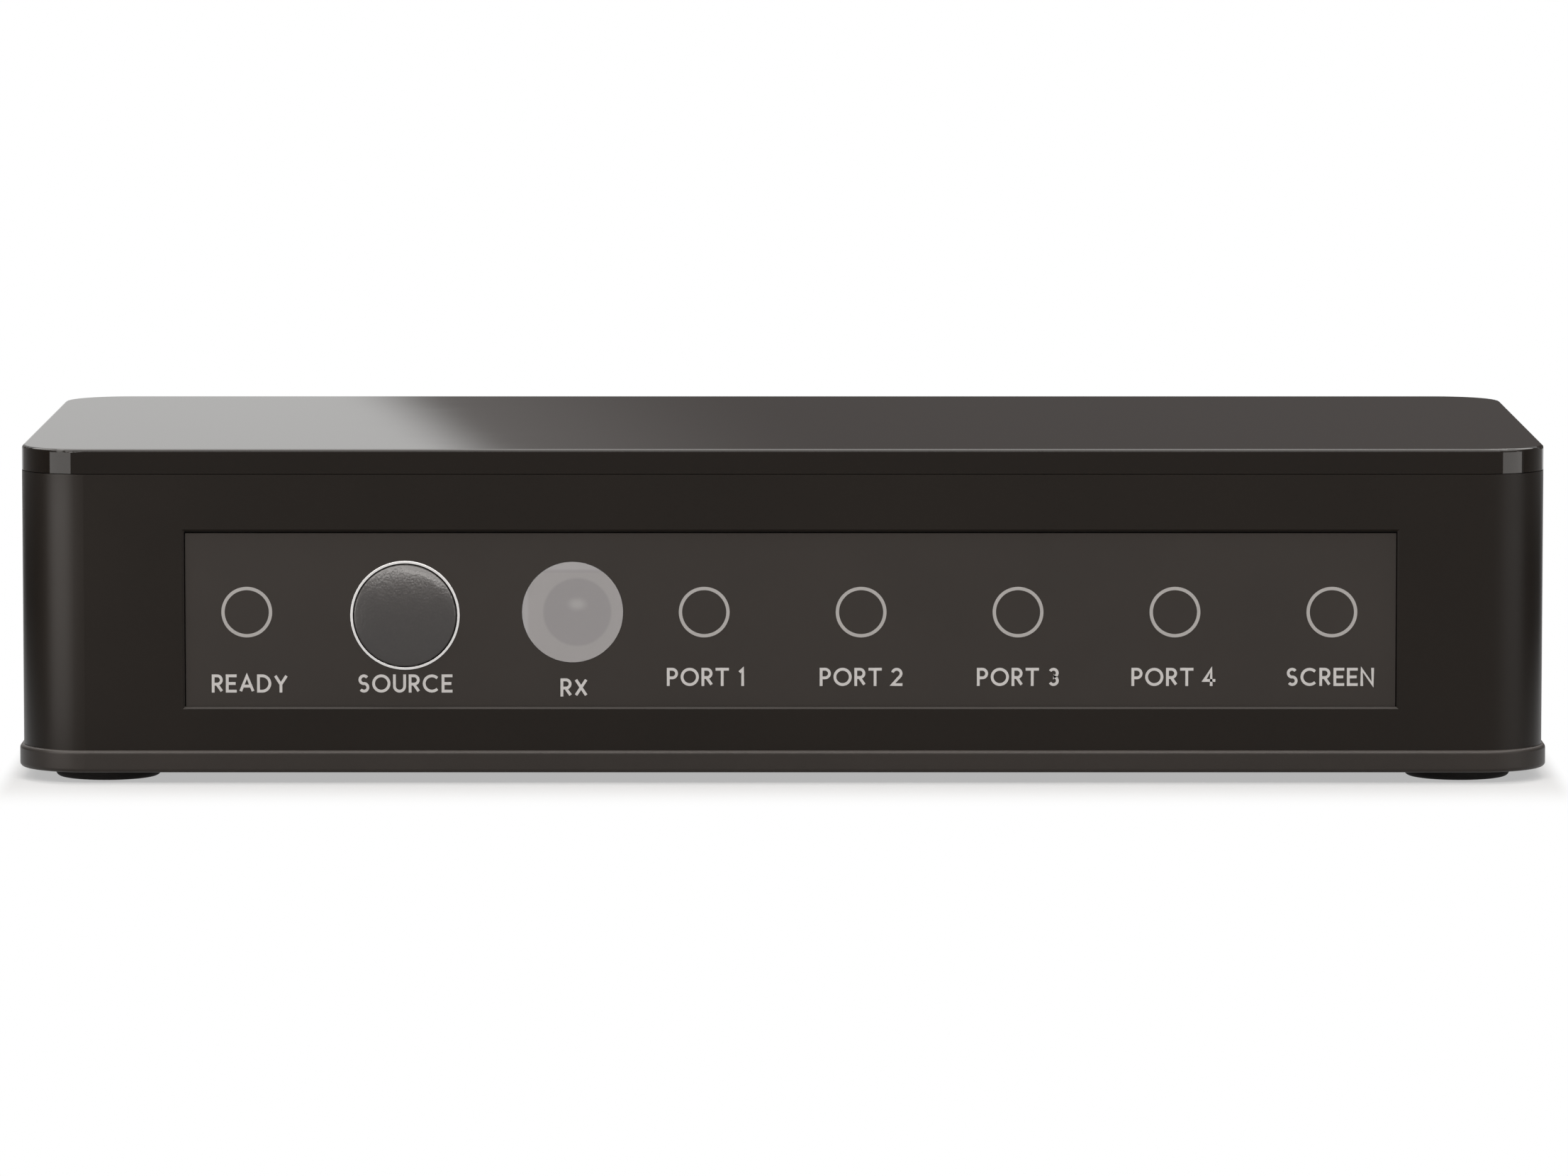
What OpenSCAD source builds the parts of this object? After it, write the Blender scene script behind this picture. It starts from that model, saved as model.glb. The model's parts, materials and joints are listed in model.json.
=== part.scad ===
// Four-input HDMI switch box: a base, a wall ring and a gloss cover closed round one
// circuit board, with the sockets at the back and the controls at the front.
// Millimetres, front towards -Y, +Z up, origin on the table under the middle of the case.

/* [Case] */
// Width of the wall ring and the cover
body_w = 115; // [103:0.5:135]
// Depth of the wall ring and the cover, front to back
body_d = 52; // [46:0.5:70]
// Radius of the upright corners
corner_r = 5; // [3.5:0.1:6]
// Thickness of the ring's walls
wall = 2; // [1.8:0.1:2.2]
// Height of the wall ring
ring_h = 20.8; // [18.7:0.1:28]
// Height of the cover's edge
cover_h = 1.9; // [1.5:0.1:4]
// Rounding of the cover's upper edge
cover_edge_r = 0.25; // [0.1:0.05:0.6]
// Height of the shadow line under the cover
shadow_h = 0.05; // [0.05:0.05:0.4]
// How far in the shadow line goes
shadow_in = 0.6; // [0.3:0.1:1.2]
// Thickness of the base
base_t = 1.7; // [1.5:0.1:3]
// How far the base stands out past the ring
base_lip = 0.3; // [0.1:0.05:1]
// Rounding of the base's edges
base_edge_r = 0.3; // [0.1:0.05:0.5]
// Thickness of the locating ribs on the cover and the base
rib_t = 1.2; // [0.8:0.1:1.4]
// Height of the cover's rib
cover_rib_h = 2; // [1.9:0.1:2.4]
// Height of the base's rib
base_rib_h = 1.5; // [1.2:0.1:2]
// Play between a rib and the wall
rib_gap = 0.15; // [0.05:0.05:0.3]

/* [Feet] */
// Diameter of a rubber foot
foot_d = 8; // [6:0.5:10]
// Height of a rubber foot
foot_h = 1.6; // [1.2:0.1:3]
// Depth of its seat in the base
foot_seat = 0.7; // [0.4:0.1:0.9]
// Rounding of its lower edge
foot_edge_r = 0.4; // [0.2:0.1:0.5]
// Distance of a foot's middle from the ring's faces
foot_inset = 6.3; // [6:0.1:9]
// Play round a foot in its seat
foot_gap = 0.1; // [0.05:0.05:0.2]

/* [Front panel] */
// Width of the front panel
panel_w = 91; // [89:0.5:100]
// Height of the front panel
panel_h = 13.1; // [12.5:0.1:14]
// How far right of the middle the panel sits
panel_shift = 0.6; // [-1:0.1:2]
// Height of the panel's lower edge above the base
panel_rise = 3.25; // [2.9:0.05:4]
// Thickness of the panel
panel_t = 0.5; // [0.4:0.05:0.7]
// How far the panel's face lies behind the ring's face
panel_sink = 0.3; // [0.1:0.05:0.4]
// Play of the panel in its recess, on whose lower edge it rests
panel_gap = 0.08; // [0.05:0.01:0.2]
// Bevel round the recess
panel_bevel = 0.15; // [0.05:0.05:0.3]

/* [Control row] */
// Height of the control row above the panel's lower edge
row_rise = 7.15; // [6.9:0.05:7.6]
// Place of the power lamp along the row
power_x = -40.3; // [-41:0.1:-39]
// Place of the select button along the row
button_x = -28.4; // [-29:0.1:-27]
// Place of the infrared window along the row
ir_x = -15.8; // [-17:0.1:-15.5]
// Place of the first input lamp along the row
input_x = -5.9; // [-6.5:0.1:-5.5]
// Spacing of the input and output lamps
lamp_pitch = 11.8; // [11:0.1:11.9]

/* [Select button] */
// Diameter of the button
button_d = 7.7; // [7:0.1:8]
// Height of the dome on its face
button_dome_h = 0.7; // [0.5:0.05:0.9]
// Rounding of the dome's rim
button_edge_r = 0.2; // [0.1:0.05:0.6]
// How far the dome stands out past the ring's face
button_proud = 0.6; // [0.5:0.05:0.9]
// How far the button sits below the row's line
button_drop = 0.25; // [0:0.05:0.3]
// How far the button can be pressed
press_travel = 0.5; // [0.3:0.05:0.55]
// Play between the button and its trim ring
button_gap = 0.07; // [0.06:0.01:0.15]
// How far the button's flange reaches past the trim ring, behind the wall
button_lap = 0.33; // [0.2:0.01:0.6]
// Thickness of that flange
button_flange_t = 0.8; // [0.6:0.1:1]
// Diameter of the stem that meets the switch
button_stem_d = 3; // [2:0.1:3.6]
// Width of the trim ring's band
trim_t = 0.2; // [0.16:0.02:0.4]
// How far the trim ring stands out from the panel
trim_proud = 0.06; // [0.05:0.01:0.14]
// How far the flanges of the trim ring and the window reach under the panel
trim_lap = 0.5; // [0.3:0.1:0.7]
// Thickness of those flanges
trim_flange_t = 0.35; // [0.25:0.05:0.45]
// Play of the trim ring and the window in the wall
trim_gap = 0.03; // [0.02:0.01:0.06]

/* [Tact switch] */
// Width and upper height of the switch's block
tact_w = 6; // [5.6:0.1:6.4]
// Depth of the switch's block
tact_t = 3.6; // [3.2:0.1:4.2]
// Distance from the front wall to the switch's frame
tact_back = 5.7; // [5:0.1:6.4]
// Thickness of the switch's metal frame
tact_frame_t = 0.3; // [0.2:0.05:0.4]
// Diameter of the plunger
plunger_d = 3.4; // [3:0.1:3.6]
// How far the plunger reaches out of the frame
plunger_reach = 2.3; // [1.6:0.1:2.6]
// Play round the plunger in the frame
plunger_gap = 0.08; // [0.05:0.01:0.1]
// Height of the snap dome
snap_h = 0.65; // [0.6:0.05:0.8]
// Thickness of the snap dome
snap_t = 0.08; // [0.06:0.01:0.1]

/* [Indicator lamps] */
// Diameter of a lamp
lamp_d = 3; // [2.8:0.1:3.2]
// Length of a lamp
lamp_l = 5.2; // [4.9:0.1:5.6]
// Diameter of a lamp's flange
lamp_flange_d = 3.8; // [3.6:0.1:4]
// Thickness of a lamp's flange
lamp_flange_t = 1; // [0.8:0.1:1.2]
// Gap between a lamp's tip and the panel
lamp_back = 0.25; // [0.15:0.05:0.4]
// Play round a lamp in its holder and the wall
lamp_gap = 0.1; // [0.05:0.05:0.2]
// Width of a lamp's holder
holder_w = 4.8; // [4.5:0.1:5.4]
// Depth of a lamp's holder
holder_l = 4; // [3.6:0.1:4.6]

/* [Infrared receiver] */
// Diameter of the window
ir_window_d = 7.6; // [6.5:0.1:8.4]
// Width of the receiver
ir_w = 7.4; // [6.8:0.1:7.8]
// Depth of the receiver's block
ir_t = 3.6; // [3.5:0.1:4.2]
// Diameter of its dome
ir_dome_d = 5; // [4.4:0.1:5.2]
// How far the dome stands out of the block
ir_dome_h = 1.6; // [1.4:0.1:1.8]
// Height of the block above the dome's middle
ir_crown = 3.1; // [2.8:0.1:3.6]
// How far right of the window the receiver sits
ir_shift = 0.35; // [0:0.05:0.5]
// Distance from the front wall to the block
ir_back = 2; // [1.9:0.1:2.6]

/* [Circuit board] */
// Thickness of the board
board_t = 1.6; // [1.2:0.1:2]
// Height of the control row above the board
row_over_board = 4.4; // [4.2:0.1:4.6]
// Gap between the board and the side walls
board_side_gap = 1.5; // [1:0.1:2]
// Gap between the board and the front wall
board_front_gap = 2.5; // [2:0.1:3]
// Gap between the board and the back wall
board_back_gap = 0.6; // [0.4:0.1:1]

/* [HDMI sockets] */
// Distance of the first input's middle from the ring's side
socket_inset = 13.7; // [13:0.1:15]
// Distance of the output's middle from the power socket's middle
socket_from_jack = 14.7; // [13.5:0.1:16]
// Width of a socket's mouth
mouth_w = 14; // [13.8:0.05:14.2]
// Height of a socket's mouth
mouth_h = 4.55; // [4.45:0.05:4.8]
// Slanted corner of the mouth
mouth_cut = 1.8; // [1.4:0.1:2]
// Thickness of a socket's shell
shell_t = 0.4; // [0.3:0.05:0.5]
// Length of a socket's shell
shell_l = 12; // [11.5:0.1:12.6]
// How far a socket stands out past the ring's back
socket_proud = 0.6; // [0.3:0.05:1]
// Play round a socket in the rear plate
socket_gap = 0.25; // [0.15:0.05:0.4]
// Width of a socket's tongue
tongue_w = 11.4; // [11:0.1:11.8]
// Thickness of a socket's tongue
tongue_t = 1; // [0.8:0.1:1.2]
// How far the tongue's tip lies inside the mouth
tongue_in = 0.9; // [0.6:0.1:1.4]

/* [Power socket] */
// Distance of the power socket's middle from the ring's side
jack_inset = 9; // [8.6:0.1:11]
// Width of its block
jack_w = 9; // [8.6:0.1:9.2]
// Height of its block
jack_h = 11; // [10.6:0.1:11.2]
// Length of its block
jack_l = 12; // [11.6:0.1:12.2]
// Height of its bore above the board
jack_axis = 6.5; // [6.3:0.1:6.6]
// Diameter of its barrel
barrel_d = 8; // [7.6:0.1:8.2]
// Diameter of its bore
jack_bore_d = 6.3; // [6:0.1:6.5]
// Depth of its bore
jack_bore_l = 9.5; // [9:0.1:10]
// Diameter of its centre pin
jack_pin_d = 2; // [1.6:0.1:2.5]
// How far the pin's tip lies inside the bore
jack_pin_in = 0.8; // [0.5:0.1:1.5]

/* [Rear plate] */
// Thickness of the rear plate
plate_t = 1.2; // [1:0.1:1.3]
// How far the plate reaches past the window's edges
plate_lap = 1; // [0.9:0.1:1.1]
// Play round the plate in its rebate
plate_gap = 0.08; // [0.05:0.01:0.15]
// Height of the window's lower edge above the base
window_rise = 2; // [1.8:0.1:2.1]
// Height of ring left above the window
window_crown = 2.6; // [2.4:0.1:2.7]
// Width of ring left beside the window
window_side = 4.5; // [4.2:0.1:4.6]

/* [Fasteners] */
// Diameter of a case screw
screw_d = 2.5; // [2:0.1:2.8]
// Length of a case screw below its head
screw_l = 12; // [10:0.5:14]
// Diameter of a screw's head
head_d = 4.6; // [4:0.1:4.8]
// Height of a screw's head
head_h = 1.6; // [1.2:0.1:2]
// Depth of the pocket for a screw's head
pocket_l = 2.2; // [2:0.1:2.6]
// Distance of the screws from the ring's sides
screw_inset = 7; // [6.6:0.1:7.4]
// Distance of the front screws from the ring's front
screw_front = 18.6; // [12:0.1:20]
// Diameter of the cover's screw bosses
boss_d = 6; // [5:0.1:6.2]
// Diameter of the base's screw posts
post_d = 7; // [6.6:0.1:7.2]
// Play of a screw in the posts and the board
screw_gap = 0.2; // [0.1:0.05:0.3]
// Gap between the rear posts and the power socket
post_gap = 0.3; // [0.2:0.1:1]

/* [Hidden] */
$fn = 64;
// Overshoot of a cut, so that it leaves no skin
over = 1;
// Play of a thread in its boss and of a pressed pin in its block
snug = 0.02;
// Play of the button and the plunger at rest
rest_play = 0.05;

// Levels and faces
base_bottom = foot_h - foot_seat;
base_top = base_bottom + base_t;
ring_top = base_top + ring_h;
front = -body_d / 2;
back = body_d / 2;
front_in = front + wall;
back_in = back - wall;
panel_face = front + panel_sink;
recess_floor = panel_face + panel_t;
row_z = base_top + panel_rise + row_rise;
button_z = row_z - button_drop;
board_top = row_z - row_over_board;
board_bottom = board_top - board_t;
board_front = front_in + board_front_gap;
board_back = back_in - board_back_gap;
board_w = body_w - 2 * (wall + board_side_gap);

// Leads and tabs that go through the board
lead_t = 0.5;
lead_pitch = 2.54;
lead_hole_d = 0.9;
lead_tail = 1.2;
slot_play = 0.6;

// Trim ring and button
trim_in_r = button_d / 2 + button_gap;
trim_out_r = trim_in_r + trim_t;
button_apex = front - button_proud;
button_rim = button_apex + button_dome_h;
button_flange_y = front_in + rest_play;
button_flange_d = 2 * (trim_out_r + button_lap);
button_relief_l = 1.6;
button_relief_t = 0.8;

// Tact switch, from its frame inwards
tact_front = front_in + tact_back;
tact_block = tact_front + tact_frame_t;
tact_leg_w = 1.2;
tact_leg_in = 1.6;
tact_leg_y = tact_block + tact_leg_in;
tact_pin_x = 1.8;
tact_pin_in = 0.7;
tact_pin_y = tact_block + tact_t - tact_pin_in;
plunger_tip = tact_front - plunger_reach;
plunger_lap = 0.6;
plunger_flange_d = plunger_d + 2 * plunger_lap;
plunger_flange_t = 0.6;
plunger_nub_d = 1.2;
plunger_nub_l = 0.6;
plunger_back = tact_block + rest_play + plunger_flange_t + plunger_nub_l;
cavity_floor = plunger_back + rest_play + snap_h;
cavity_gap = 0.2;
cavity_d = plunger_flange_d + 2 * cavity_gap;

// Lamps
lamp_tip = recess_floor + lamp_back;
lamp_step = lamp_tip + lamp_l - lamp_flange_t;
holder_grip = 1.6;
holder_front = lamp_step - holder_grip;
holder_rise = 2.4;
lamp_lead_gap = 0.6;
lamp_lead_y = holder_front + holder_l + lamp_lead_gap;
lamp_names = ["power", "input_1", "input_2", "input_3", "input_4", "output"];
lamp_x = concat([power_x], [for (i = [0:4]) input_x + i * lamp_pitch]);

// Infrared receiver
ir_front = front_in + ir_back;
ir_mid_x = ir_x + ir_shift;
ir_stand = 0.3;
ir_bottom = board_top + ir_stand;
ir_lead_y = ir_front + ir_t / 2;

// Power socket
jack_x = -body_w / 2 + jack_inset;
jack_gap = 0.3;
jack_front = back_in - jack_gap;
jack_rear = jack_front - jack_l;
jack_z = board_top + jack_axis;
root_step = 0.3;
jack_root_d = jack_pin_d + 2 * root_step;
tab_t = 0.5;
tab_step = 0.2;
tab_w = jack_root_d + 2 * tab_step;
spring_w = 2;
spring_t = 0.25;
spring_in = 8.8;
spring_drop = 0.8;
spring_play = 0.2;
spring_slot_w = spring_w + spring_play;
spring_slot_end = 1;
spring_y = jack_front - spring_in;
spring_z = jack_z - jack_bore_d / 2 - spring_drop;

// HDMI sockets, the first input on the left as seen from behind
socket_names = ["input_1", "input_2", "input_3", "input_4", "output"];
first_socket_x = body_w / 2 - socket_inset;
last_socket_x = jack_x + socket_from_jack;
socket_pitch = (first_socket_x - last_socket_x) / 4;
socket_x = [for (i = [0:4]) first_socket_x - i * socket_pitch];
mouth_y = back + socket_proud;
mouth_z = board_top + shell_t;
leg_w = 1.6;
leg_front = 5.5;
leg_back = 10.5;
leg_ys = [mouth_y - leg_front, mouth_y - leg_back];
tongue_block_l = 3.6;
tongue_root = mouth_y - shell_l + shell_t + tongue_block_l;
tongue_tip = mouth_y - tongue_in;
tongue_z = mouth_z + (mouth_h - tongue_t) / 2;
contact_w = 0.45;
contact_t = 0.12;
contact_pitch = 1;
contact_in = 0.6;

// Rear plate and its window
window_w = body_w - 2 * window_side;
window_bottom = base_top + window_rise;
window_top = ring_top - window_crown;

// Screws, feet, supports and vents: the rear posts clear the power socket's tab
screw_x = body_w / 2 - screw_inset;
screw_ys = [front + screw_front, jack_rear - tab_t - post_gap - post_d / 2];
pocket_top = base_bottom + pocket_l;
pilot_spare = 1;
pilot_top = pocket_top + screw_l + pilot_spare;
foot_x = body_w / 2 - foot_inset;
foot_y = body_d / 2 - foot_inset;
support_d = 3;
support_in = 4;
vent_w = 1.6;
vent_l = 18;
vent_pitch = 4;
vent_count = 9;

// Parts on the board: places from the board's middle, sizes of their bodies
chip_at = [5, 1];
chip_w = 10;
chip_h = 1.4;
chip_lift = 0.1;
chip_lead_w = 0.22;
chip_lead_pitch = 0.5;
chip_lead_count = 16;
controller_at = [-24, -4];
controller_w = 9.9;
controller_d = 3.9;
controller_h = 1.45;
controller_lead_w = 0.4;
controller_lead_pitch = 1.27;
controller_lead_count = 8;
lead_run = 1;
lead_sheet = 0.15;
lead_mid = 0.6;
lead_knee = 0.35;
lead_ankle = 0.45;
crystal_at = [-24, 4];
crystal_w = 11;
crystal_d = 4.6;
crystal_h = 3.5;
capacitor_at = [-37, -4];
capacitor_d = 6.3;
capacitor_h = 6.7;
capacitor_base_w = 6.6;
capacitor_base_h = 1;
regulator_at = [-37, 4];
regulator_w = 6.5;
regulator_d = 3.5;
regulator_h = 1.6;
regulator_pitch = 2.3;
regulator_lead_w = 0.7;
regulator_tab_w = 3;
small_l = 1.6;
small_w = 0.8;
small_h = 0.6;
resistor_count = 10;
resistor_pitch = 2.4;
resistor_at = [20, -1];
ceramic_count = 4;
ceramic_pitch = 2.4;
ceramic_gap = 4;
guard_w = 2.5;
guard_l = 1;
guard_h = 0.5;
guard_pitch = 3.25;
guard_gap = 1.5;
guard_y = mouth_y - shell_l - guard_gap;

// Plan of a box with round corners
module rounded_rect(w, d, r) {
    square([w - 2 * r, d], center = true);
    square([w, d - 2 * r], center = true);
    for (x = [-1, 1], y = [-1, 1])
        translate([x * (w / 2 - r), y * (d / 2 - r)]) circle(r);
}

// Plan of a frame with round corners, its wall t thick
module rim(w, d, r, t) {
    difference() {
        rounded_rect(w, d, r);
        rounded_rect(w - 2 * t, d - 2 * t, max(r - t, 0.2));
    }
}

// Section of a slab's edge, from a corner's axis outwards, with rounded ends
module edge_section(r, h, top_r, bottom_r) {
    difference() {
        square([r, h]);
        if (top_r > 0) translate([r - top_r, h - top_r]) difference() {
            square(top_r + over);
            circle(top_r);
        }
        if (bottom_r > 0) translate([r - bottom_r, bottom_r]) difference() {
            translate([0, -bottom_r - over]) square(bottom_r + over);
            circle(bottom_r);
        }
    }
}

// Slab with round corners and rounded upper and lower edges, standing on z = 0
module soft_slab(w, d, h, r, top_r, bottom_r) {
    translate([-w / 2 + r, -d / 2 + r, 0]) cube([w - 2 * r, d - 2 * r, h]);
    for (i = [0:3]) rotate(90 * i) {
        across = i % 2 == 0 ? w : d;
        along = i % 2 == 0 ? d : w;
        translate([across / 2 - r, along / 2 - r, 0]) {
            rotate_extrude(angle = 90) edge_section(r, h, top_r, bottom_r);
            rotate([90, 0, 0]) linear_extrude(along - 2 * r) edge_section(r, h, top_r, bottom_r);
        }
    }
}

// Cylinder along Y from y0 to y1
module rod_y(x, z, y0, y1, d) {
    translate([x, y0, z]) rotate([-90, 0, 0]) cylinder(d = d, h = y1 - y0);
}

// Box from one corner to the other
module block(from, to) {
    translate(from) cube(to - from);
}

module at_screws() {
    for (x = [-screw_x, screw_x], y = screw_ys) translate([x, y, 0]) children();
}

// Supports under the board: between the sockets and by the front corners
module at_supports() {
    for (i = [0:3]) translate([(socket_x[i] + socket_x[i + 1]) / 2, (leg_ys[0] + leg_ys[1]) / 2, 0]) children();
    for (x = [-1, 1]) translate([x * (board_w / 2 - support_in), board_front + support_in, 0]) children();
}

module top_cover() {
    color("#2b2826") difference() {
        union() {
            translate([0, 0, ring_top + shadow_h])
                soft_slab(body_w, body_d, cover_h - shadow_h, corner_r, cover_edge_r, 0);
            translate([0, 0, ring_top]) linear_extrude(shadow_h)
                rounded_rect(body_w - 2 * shadow_in, body_d - 2 * shadow_in, corner_r - shadow_in);
            translate([0, 0, ring_top - cover_rib_h]) linear_extrude(cover_rib_h)
                rim(
                    body_w - 2 * (wall + rib_gap),
                    body_d - 2 * (wall + rib_gap),
                    corner_r - wall - rib_gap,
                    rib_t
                );
            at_screws() translate([0, 0, board_top]) cylinder(d = boss_d, h = ring_top - board_top);
        }
        at_screws() translate([0, 0, board_top - over])
            cylinder(d = screw_d + 2 * snug, h = pilot_top - board_top + over);
        jack_room();
    }
}

// Room that the cover leaves round the power socket
module jack_room() {
    half = jack_w / 2 + jack_gap;
    block([jack_x - half, jack_rear - jack_gap, board_top], [jack_x + half, back_in, board_top + jack_h + jack_gap]);
}

module wall_ring() {
    color("#2a2725") difference() {
        translate([0, 0, base_top]) linear_extrude(ring_h) rim(body_w, body_d, corner_r, wall);
        panel_recess();
        for (x = lamp_x) rod_y(x, row_z, front, front_in + over, lamp_d + 2 * lamp_gap);
        trim_hole(button_x, button_z, trim_out_r);
        trim_hole(ir_x, row_z, ir_window_d / 2);
        block([-window_w / 2, back_in - over, window_bottom], [window_w / 2, back + over, window_top]);
        plate_slab(back_in - corner_r, plate_t + corner_r, plate_gap);
        rod_y(jack_x, jack_z, back_in - over, back + over, barrel_d + 2 * socket_gap);
    }
}

// Recess for the front panel, with a bevelled edge
module panel_recess() {
    w = panel_w + 2 * panel_gap;
    h = panel_h + 2 * panel_gap;
    sliver = 0.01;
    translate([panel_shift, 0, base_top + panel_rise + panel_h / 2 + panel_gap]) {
        block([-w / 2, front - over, -h / 2], [w / 2, recess_floor, h / 2]);
        hull() {
            translate([0, front, 0])
                cube([w + 2 * panel_bevel, sliver, h + 2 * panel_bevel], center = true);
            translate([0, front + panel_bevel, 0]) cube([w, sliver, h], center = true);
        }
    }
}

// Stepped hole through the front wall for the trim ring or the window
module trim_hole(x, z, r) {
    rod_y(x, z, front, front_in + over, 2 * (r + trim_gap));
    rod_y(x, z, front, recess_floor + trim_flange_t, 2 * (r + trim_lap + trim_gap));
}

// Outline of the rear plate as a slab, larger than the plate by grow
module plate_slab(y, t, grow) {
    half = window_w / 2 + plate_lap + grow;
    block(
        [-half, y, window_bottom - plate_lap - grow],
        [half, y + t, window_top + plate_lap + grow]
    );
}

module base_plate() {
    color("#383431") difference() {
        union() {
            translate([0, 0, base_bottom])
                soft_slab(
                    body_w + 2 * base_lip,
                    body_d + 2 * base_lip,
                    base_t,
                    corner_r + base_lip,
                    base_edge_r,
                    base_edge_r
                );
            translate([0, 0, base_top]) linear_extrude(base_rib_h)
                rim(
                    body_w - 2 * (wall + rib_gap),
                    body_d - 2 * (wall + rib_gap),
                    corner_r - wall - rib_gap,
                    rib_t
                );
            at_screws() translate([0, 0, base_top]) cylinder(d = post_d, h = board_bottom - base_top);
            at_supports() translate([0, 0, base_top]) cylinder(d = support_d, h = board_bottom - base_top);
        }
        at_screws() {
            translate([0, 0, base_bottom - over]) cylinder(d = head_d + 2 * screw_gap, h = pocket_l + over);
            translate([0, 0, base_bottom]) cylinder(d = screw_d + 2 * screw_gap, h = board_top);
        }
        for (x = [-1, 1], y = [-1, 1]) translate([x * foot_x, y * foot_y, base_bottom - over])
            cylinder(d = foot_d + 2 * foot_gap, h = foot_seat + over);
        for (i = [0:vent_count - 1])
            translate([(i - (vent_count - 1) / 2) * vent_pitch, 0, base_bottom - over])
                linear_extrude(base_t + 2 * over) rounded_rect(vent_w, vent_l, vent_w / 2 - snug);
    }
}

module front_panel() {
    color("#3a3633") difference() {
        translate([panel_shift, 0, base_top + panel_rise])
            block([-panel_w / 2, panel_face, 0], [panel_w / 2, recess_floor, panel_h]);
        rod_y(button_x, button_z, front, recess_floor + over, 2 * (trim_out_r + trim_gap));
        rod_y(ir_x, row_z, front, recess_floor + over, ir_window_d + 2 * trim_gap);
    }
}

module rear_plate() {
    color("#2a2725") difference() {
        plate_slab(back_in, plate_t, 0);
        for (x = socket_x) translate([x, back, mouth_z]) rotate([90, 0, 0])
            linear_extrude(wall + over) mouth_outline(shell_t + socket_gap);
        rod_y(jack_x, jack_z, back_in - over, back, barrel_d + 2 * socket_gap);
    }
}

// Half section of the button's face: a dome whose rim is rounded into the side
module cap_section() {
    side = button_d / 2;
    dome_r = (pow(side, 2) + pow(button_dome_h, 2)) / (2 * button_dome_h);
    dome_mid = [0, button_dome_h - dome_r];
    rim_x = side - button_edge_r;
    rim_mid = [rim_x, dome_mid.y + sqrt(pow(dome_r - button_edge_r, 2) - pow(rim_x, 2))];
    tip = rim_mid + (rim_mid - dome_mid) * 2 * button_edge_r / (dome_r - button_edge_r);
    difference() {
        intersection() {
            translate(dome_mid) circle(dome_r);
            translate([0, -button_edge_r]) square([side, button_dome_h + button_edge_r]);
        }
        difference() {
            polygon([rim_mid, tip, [side + over, tip.y], [side + over, rim_mid.y]]);
            translate(rim_mid) circle(button_edge_r);
        }
    }
}

// Domed cap with a flange behind the wall, hollow round the stem that meets the switch
module select_button() {
    relief_r = button_d / 2 - button_relief_t;
    flange_back = button_flange_y + button_flange_t;
    stem_end = plunger_tip - rest_play;
    color("#55514e") {
        difference() {
            union() {
                translate([button_x, button_rim, button_z]) rotate([90, 0, 0])
                    rotate_extrude() cap_section();
                rod_y(button_x, button_z, button_rim + button_edge_r, button_flange_y, button_d);
                rod_y(button_x, button_z, button_flange_y, flange_back, button_flange_d);
            }
            rod_y(button_x, button_z, flange_back - button_relief_l, flange_back + over, 2 * relief_r);
        }
        rod_y(button_x, button_z, flange_back - button_relief_l, stem_end, button_stem_d);
    }
}

module button_trim_ring() {
    color("#d8d6d3") difference() {
        union() {
            rod_y(button_x, button_z, panel_face - trim_proud, front_in, 2 * trim_out_r);
            rod_y(
                button_x,
                button_z,
                recess_floor,
                recess_floor + trim_flange_t,
                2 * (trim_out_r + trim_lap)
            );
        }
        rod_y(button_x, button_z, front - over, front_in + over, 2 * trim_in_r);
    }
}

module ir_window() {
    color("#989390") {
        rod_y(ir_x, row_z, panel_face, front_in, ir_window_d);
        rod_y(ir_x, row_z, recess_floor, recess_floor + trim_flange_t, ir_window_d + 2 * trim_lap);
    }
}

module foot() {
    color("#141313") rotate_extrude() edge_section(foot_d / 2, foot_h, 0, foot_edge_r);
}

// Screws with a crossed slot in the head
module case_screws() {
    slot_w = 0.7;
    slot_l = 2.8;
    slot_h = 0.9;
    color("#8d8f92") at_screws() translate([0, 0, pocket_top]) {
        cylinder(d = screw_d, h = screw_l);
        difference() {
            translate([0, 0, -head_h]) cylinder(d = head_d, h = head_h);
            for (turn = [0, 90]) rotate(turn)
                block([-slot_l / 2, -slot_w / 2, -head_h - over], [slot_l / 2, slot_w / 2, slot_h - head_h]);
        }
    }
}

// Upright hole or slot through the board
module board_hole(x, y, d) {
    translate([x, y, board_bottom - over]) cylinder(d = d, h = board_t + 2 * over);
}

module board_slot(x, y, w, d) {
    block([x - w / 2, y - d / 2, board_bottom - over], [x + w / 2, y + d / 2, board_top + over]);
}

module main_board() {
    color("#1d5a38") difference() {
        translate([0, (board_front + board_back) / 2, board_bottom]) linear_extrude(board_top - board_bottom)
            rounded_rect(board_w, board_back - board_front, corner_r - wall);
        at_screws() board_hole(0, 0, screw_d + 2 * screw_gap);
        for (x = lamp_x, s = [-1, 1]) board_hole(x + s * lead_pitch / 2, lamp_lead_y, lead_hole_d);
        for (s = [-1, 0, 1]) board_hole(ir_mid_x + s * lead_pitch, ir_lead_y, lead_hole_d);
        for (x = socket_x, s = [-1, 1], y = leg_ys)
            board_slot(
                x + s * (mouth_w + shell_t) / 2,
                y,
                shell_t + slot_play,
                leg_w + slot_play
            );
        for (s = [-1, 1]) {
            board_slot(
                button_x + s * (tact_w + tact_frame_t) / 2,
                tact_leg_y,
                tact_frame_t + slot_play,
                tact_leg_w + slot_play
            );
            board_hole(button_x + s * tact_pin_x, tact_pin_y, lead_hole_d);
        }
        board_slot(jack_x, jack_rear - tab_t / 2, tab_w + slot_play, tab_t + slot_play);
        board_slot(jack_x, spring_y + spring_t / 2, spring_w + slot_play, spring_t + slot_play);
    }
}

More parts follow.
